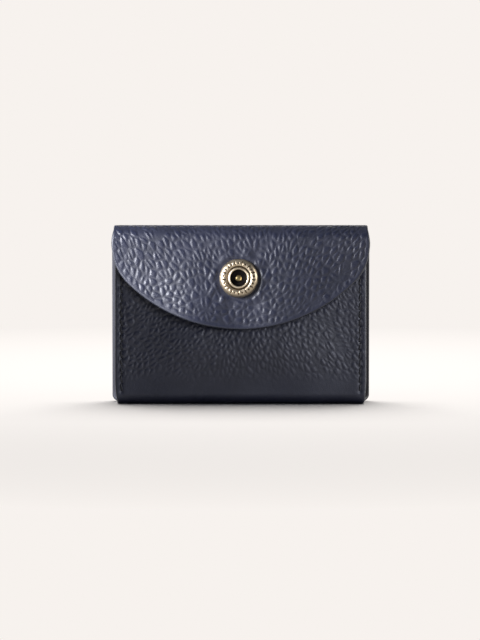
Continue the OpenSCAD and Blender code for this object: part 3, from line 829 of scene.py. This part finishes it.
# Near-black thread: its own dark dye, darkened further as painted shade for the pricked holes it
# lies in.
links.new(shade(nodes, links, (0.002, 0.0025, 0.005), (0.009, 0.010, 0.016), fibres.outputs["Fac"],
                0.3, 0.75), shader.inputs["Base Color"])
shader.inputs["Roughness"].default_value = 0.72
fuzz = nodes.new("ShaderNodeBump")
fuzz.inputs["Distance"].default_value = 0.00003
links.new(fibres.outputs["Fac"], fuzz.inputs["Height"])
links.new(fuzz.outputs["Normal"], shader.inputs["Normal"])

front_stack = LEATHER + LAYER_GAP + GUSSET_THICK
back_stack = front_stack + POCKET_THICK + LAYER_GAP
front_seams = []
for name, body, foot, up, out, x, stack in (
        ("front_left_seam", "front", front_foot, front_up, front_out, -SEAM_X, front_stack),
        ("front_right_seam", "front", front_foot, front_up, front_out, SEAM_X, front_stack),
        ("back_left_seam", "case", back_foot, back_up, back_out, -SEAM_X, back_stack),
        ("back_right_seam", "case", back_foot, back_up, back_out, SEAM_X, back_stack)):
    seam = thread_mesh(name + "_thread", stitches(foot, up, out, x, stack, 1 if x > 0 else -1))
    dress(seam, thread)
    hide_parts(name)
    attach(seam, body)
    if body == "front":
        front_seams.append(seam)


# ---- Snap ----------------------------------------------------------------------------
# Ring-spring snap in aged brass: a pressed ring cap with a dark disc and the rivet's head in its
# hole on the flap, the socket and its spring under it, and the stud on the front panel. The
# ring carries a plain border of sunk dots and short bars, dark with patina.

snap_foot = front_foot + front_up * ((SNAP_Z - front_foot[1]) / math.cos(FRONT_LEAN))
CAP_LOW = FLAP_GAP + LEATHER + 0.02 * mm


def about_snap(radius, angle, height):
    """A point at a radius and angle round the snap's axis and a height above the front's
    leather; angle 0 is to the right and a quarter turn is up."""
    up = radius * np.sin(angle)
    return np.stack(np.broadcast_arrays(
        SNAP_X + radius * np.cos(angle),
        snap_foot[0] + front_up[0] * up + front_out[0] * height,
        snap_foot[1] + front_up[1] * up + front_out[1] * height), -1)


def turned_mesh(name, radius, height):
    """A closed ring: the section's points run round once in their own loop, and the loop is
    carried round the axis. Both are arrays of angle by section point."""
    turns, steps = radius.shape
    angle = np.linspace(0, 2 * math.pi, turns, endpoint=False)[:, None]
    points = about_snap(radius, angle, height)
    ids = np.arange(turns * steps).reshape(turns, steps)
    right, up = np.roll(ids, -1, 0), np.roll(ids, -1, 1)
    faces = np.stack([ids, right, np.roll(right, -1, 1), up], -1).reshape(-1, 4)
    piece = smooth_piece(name, points.reshape(-1, 3), faces.tolist())
    outward_mesh(piece.data)
    return piece


# Section of the pressed ring, radius and height over the leather in mm, outside then inside.
ring_section = np.array([
    (7.25, 0.00), (7.46, 0.12), (7.50, 0.40), (7.50, 0.75), (7.42, 1.12), (7.25, 1.50),
    (6.98, 1.88), (6.62, 2.22), (6.20, 2.46), (5.75, 2.58), (5.30, 2.56), (4.92, 2.42),
    (4.62, 2.20), (4.42, 2.02), (4.26, 2.06), (4.14, 2.34), (4.00, 2.66), (3.80, 2.84),
    (3.55, 2.86), (3.34, 2.72), (3.24, 2.40), (3.22, 1.60), (3.22, 0.40), (3.56, 0.40),
    (3.58, 1.60), (3.66, 1.90), (4.30, 1.72), (5.20, 2.16), (6.00, 2.10), (6.70, 1.55),
    (7.05, 0.90), (7.10, 0.36), (6.86, 0.30), (6.86, 0.00)])
loops = np.arange(len(ring_section) + 1)
fine_loop = np.arange(0, len(ring_section), 0.4)
closed = np.vstack([ring_section, ring_section[:1]])
section_r = np.interp(fine_loop, loops, closed[:, 0])
section_h = np.interp(fine_loop, loops, closed[:, 1])
for _ in range(2):
    section_r = (np.roll(section_r, 1) + 2 * section_r + np.roll(section_r, -1)) / 4
    section_h = (np.roll(section_h, 1) + 2 * section_h + np.roll(section_h, -1)) / 4
turn = np.linspace(0, 2 * math.pi, 420, endpoint=False)[:, None]
# The border: dots and bars by turns, sunk into the roll along the section's normal. The roll
# is the section's first 13 points and the lip's top the next 8.
MARKS, BORDER_R, SUNK = 26, 5.85, 0.16
DOT_R, BAR_HALF_WIDTH, BAR_HALF_LENGTH = 0.34, 0.24, 0.72
ROLL_END, LIP_END = 13, 21
step = turn / (2 * math.pi) * MARKS
arc_off = (step % 1 - 0.5) * 2 * math.pi * BORDER_R / MARKS
odd = (np.floor(step) % 2) > 0
dot = np.exp(-((arc_off ** 2 + (section_r - BORDER_R) ** 2) / DOT_R ** 2) ** 2)
bar = np.exp(-(arc_off / BAR_HALF_WIDTH) ** 4 - ((section_r - BORDER_R) / BAR_HALF_LENGTH) ** 6)
relief = np.where(odd, bar, dot) * ((section_h > 1.2) & (fine_loop < ROLL_END))
slope_r = np.gradient(section_r)
slope_h = np.gradient(section_h)
steep = np.hypot(slope_r, slope_h)
ring_r = section_r - SUNK * relief * (slope_h / steep)
ring_h = section_h - SUNK * relief * np.abs(slope_r / steep)
ring_cap = turned_mesh("snap_ring", ring_r * mm, CAP_LOW + ring_h * mm)
worn_top = (np.exp(-((section_r - 3.75) / 0.42) ** 4)
            * (fine_loop > ROLL_END) * (fine_loop < LIP_END))
groove = np.exp(-((section_r - 4.42) / 0.26) ** 4) * (fine_loop > ROLL_END - 2)
bright = np.clip(0.62 + worn_top - 1.2 * relief - 0.8 * groove, 0, 1)
set_mark(ring_cap, "rubbed", (bright + 0 * turn).ravel())


def brass_finish(name, dark, mid, light, rough, marked):
    """Aged brass: brown patina in patches and in the hollows, rubbed bright on the tops.
    Where a piece has no mark, only the patches show."""
    finish = bpy.data.materials.new(name)
    finish.use_nodes = True
    nodes, links = finish.node_tree.nodes, finish.node_tree.links
    shader = nodes["Principled BSDF"]
    skin = nodes.new("ShaderNodeGroup")
    skin.node_tree = fine_skin
    skin.inputs["Cell Scale"].default_value = 2600
    skin.inputs["Mottle Scale"].default_value = 620
    body = shade(nodes, links, dark, mid, skin.outputs["Mottle"], 0.36, 0.62)
    rough_value = level(nodes, links, skin.outputs["Mottle"], rough[0], rough[1], 0.35, 0.65)
    if marked:
        body = shade(nodes, links, body, light, mark_of(nodes, "rubbed"), 0.1, 0.9)
    links.new(body, shader.inputs["Base Color"])
    links.new(rough_value, shader.inputs["Roughness"])
    shader.inputs["Metallic"].default_value = 1.0
    bumps = nodes.new("ShaderNodeBump")
    bumps.inputs["Distance"].default_value = 0.000006
    links.new(skin.outputs["Mottle"], bumps.inputs["Height"])
    links.new(bumps.outputs["Normal"], shader.inputs["Normal"])
    return finish


aged_brass = brass_finish("aged brass ring", (0.030, 0.020, 0.012), (0.11, 0.080, 0.050),
                          (0.60, 0.51, 0.37), (0.48, 0.34), True)
plain_brass = brass_finish("aged brass", (0.20, 0.14, 0.075), (0.46, 0.35, 0.20),
                           (0.62, 0.50, 0.30), (0.45, 0.30), False)
bright_brass = brass_finish("rivet brass", (0.22, 0.17, 0.08), (0.42, 0.34, 0.17),
                            (0.62, 0.50, 0.30), (0.42, 0.30), False)
dark_disc = brass_finish("blackened disc", (0.010, 0.009, 0.009), (0.030, 0.026, 0.024),
                         (0.05, 0.05, 0.05), (0.50, 0.36), False)
spring_steel = brass_finish("spring steel", (0.30, 0.30, 0.30), (0.55, 0.55, 0.54),
                            (0.6, 0.6, 0.6), (0.34, 0.24), False)
dress(ring_cap, aged_brass)
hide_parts("snap_cap")
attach(ring_cap, "flap")

for name, finish in (("cap_disc", dark_disc), ("cap_rivet", bright_brass),
                     ("snap_socket", plain_brass), ("socket_spring", spring_steel),
                     ("snap_stud", plain_brass), ("stud_post", plain_brass)):
    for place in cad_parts[name].material_slots:
        place.material = finish


# ---- Stud patch ----------------------------------------------------------------------
# A leather disc inside the pocket, that keeps the stud's post from pulling through the front.

patch_section = np.array([
    (1.62, 0.00), (7.30, 0.00), (7.72, 0.08), (7.95, 0.28), (7.98, 0.50), (7.90, 0.72),
    (7.66, 0.86), (7.20, 0.90), (5.60, 0.90), (3.60, 0.90), (1.62, 0.90)])
rounds = np.linspace(0, 2 * math.pi, 96, endpoint=False)[:, None]
patch_h = -(LEATHER + LAYER_GAP + GUSSET_THICK) / mm + patch_section[:, 1]
stud_patch = turned_mesh("stud_patch_leather", (patch_section[:, 0] + 0 * rounds) * mm,
                         (patch_h + 0 * rounds) * mm)
for key, value in (("pebble", 0.5), ("tone", 0.5), ("rim", 0.0), ("inner_face", 0.0)):
    set_mark(stud_patch, key, np.full(len(stud_patch.data.vertices), value))
dress(stud_patch, lining)
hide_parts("stud_patch")
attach(stud_patch, "front")


# ---- Table, light and camera ---------------------------------------------------------
# A plain pale table top that fades into a pale background. A small soft window close on the
# left lights all but the front panel, which has a lamp of its own in front on the right, and
# weaker lamps on the right, behind and above light the edges. The table is lit from above.

PALE = (0.930, 0.888, 0.855)

scene = bpy.context.scene
scene.view_settings.view_transform = "Standard"
room = bpy.data.worlds.new("pale room")
scene.world = room
room.use_nodes = True
room_nodes, room_links = room.node_tree.nodes, room.node_tree.links
seen = room_nodes["Background"]
seen.inputs["Color"].default_value = (*PALE, 1)
lighting = room_nodes.new("ShaderNodeBackground")
lighting.inputs["Color"].default_value = (0.82, 0.88, 1.0, 1)
lighting.inputs["Strength"].default_value = 0.10
ray = room_nodes.new("ShaderNodeLightPath")
choose = room_nodes.new("ShaderNodeMixShader")
room_links.new(ray.outputs["Is Camera Ray"], choose.inputs[0])
room_links.new(lighting.outputs[0], choose.inputs[1])
room_links.new(seen.outputs[0], choose.inputs[2])
room_links.new(choose.outputs[0], room_nodes["World Output"].inputs["Surface"])

table_mesh = bpy.data.meshes.new("table_top")
half = 30.0
table_mesh.from_pydata([(-half, -half, 0), (half, -half, 0), (half, half, 0), (-half, half, 0)],
                       [], [(0, 1, 2, 3)])
table_top = bpy.data.objects.new("table_top", table_mesh)
scene.collection.objects.link(table_top)
table_paint = bpy.data.materials.new("pale table")
table_paint.use_nodes = True
nodes, links = table_paint.node_tree.nodes, table_paint.node_tree.links
matt = nodes["Principled BSDF"]
matt.inputs["Base Color"].default_value = (0.86, 0.82, 0.785, 1)
matt.inputs["Roughness"].default_value = 0.9
matt.inputs["Specular IOR Level"].default_value = 0.0
# From 0.10 to 0.42 m off the middle, the table turns from matt paint to plain glow.
far_glow = nodes.new("ShaderNodeEmission")
far_glow.inputs["Color"].default_value = (*PALE, 1)
where = nodes.new("ShaderNodeTexCoord")
reach = nodes.new("ShaderNodeVectorMath")
reach.operation = "LENGTH"
links.new(where.outputs["Object"], reach.inputs[0])
fade_out = nodes.new("ShaderNodeMapRange")
fade_out.inputs["From Min"].default_value = 0.10
fade_out.inputs["From Max"].default_value = 0.42
links.new(reach.outputs["Value"], fade_out.inputs["Value"])
blend_out = nodes.new("ShaderNodeMixShader")
links.new(fade_out.outputs["Result"], blend_out.inputs[0])
links.new(matt.outputs[0], blend_out.inputs[1])
links.new(far_glow.outputs[0], blend_out.inputs[2])
links.new(blend_out.outputs[0], nodes["Material Output"].inputs["Surface"])
table_mesh.materials.append(table_paint)


def soft_lamp(name, place, aim, size, power, colour):
    """A square soft lamp at place, turned so that it faces aim."""
    lamp = bpy.data.lights.new(name, "AREA")
    lamp.size = size
    lamp.energy = power
    lamp.color = colour
    stand = bpy.data.objects.new(name, lamp)
    scene.collection.objects.link(stand)
    toward = Vector(aim) - Vector(place)
    stand.location = place
    stand.rotation_euler = toward.to_track_quat("-Z", "Y").to_euler()
    return stand


def lit_pieces(name, pieces, left_out):
    """A light-linking collection: only these pieces, or all but these."""
    receivers = bpy.data.collections.new(name)
    for k, piece in enumerate(pieces):
        receivers.objects.link(piece)
        if left_out:
            receivers.collection_objects[k].light_linking.link_state = "EXCLUDE"
    return receivers


# The table, the front and the rest are lit apart, as with flags held before the lamps.
off_table = lit_pieces("all but the table", [table_top], True)
off_front = lit_pieces("all but table and front", [table_top, front_leather, *front_seams], True)
front_alone = lit_pieces("the front alone", [front_leather, *front_seams], False)
table_alone = lit_pieces("the table alone", [table_top], False)
for name, place, size, power, colour, lit in (
        ("window", (-0.165, -0.115, 0.10), 0.09, 1.7, (0.96, 0.97, 1.04), off_front),
        ("front_lamp", (0.24, -0.34, 0.18), 0.26, 1.15, (0.94, 0.96, 1.08), front_alone),
        ("right_lamp", (0.45, -0.03, 0.15), 0.22, 1.7, (1.0, 0.97, 0.93), off_table),
        ("back_glow", (0, 1.3, 0.30), 1.0, 8.0, (1.0, 0.98, 0.96), off_table),
        ("top_lamp", (0.0, 0.35, 1.00), 0.8, 1.0, (1.0, 0.99, 0.98), off_table),
        ("table_lamp", (0.0, 0.50, 1.10), 1.2, 22.5, (1.0, 1.0, 1.0), table_alone)):
    stand = soft_lamp(name, place, (0, 0, 0.04), size, power, colour)
    stand.visible_camera = False
    stand.light_linking.receiver_collection = lit

camera_data = bpy.data.cameras.new("camera")
camera_data.sensor_width = 36
camera_data.lens = 362.3
camera_data.clip_start = 0.05
camera_data.clip_end = 80
camera = bpy.data.objects.new("camera", camera_data)
scene.collection.objects.link(camera)
# A long lens 2.5 m away, 4 degrees above level, aimed near the middle of the holder.
camera_rise, camera_far = math.radians(4.0), 2.5
aim = Vector((-0.3 * mm, 0, 32.1 * mm))
camera.location = aim + camera_far * Vector((0, -math.cos(camera_rise), math.sin(camera_rise)))
camera.rotation_euler = (aim - camera.location).to_track_quat("-Z", "Y").to_euler()
scene.camera = camera
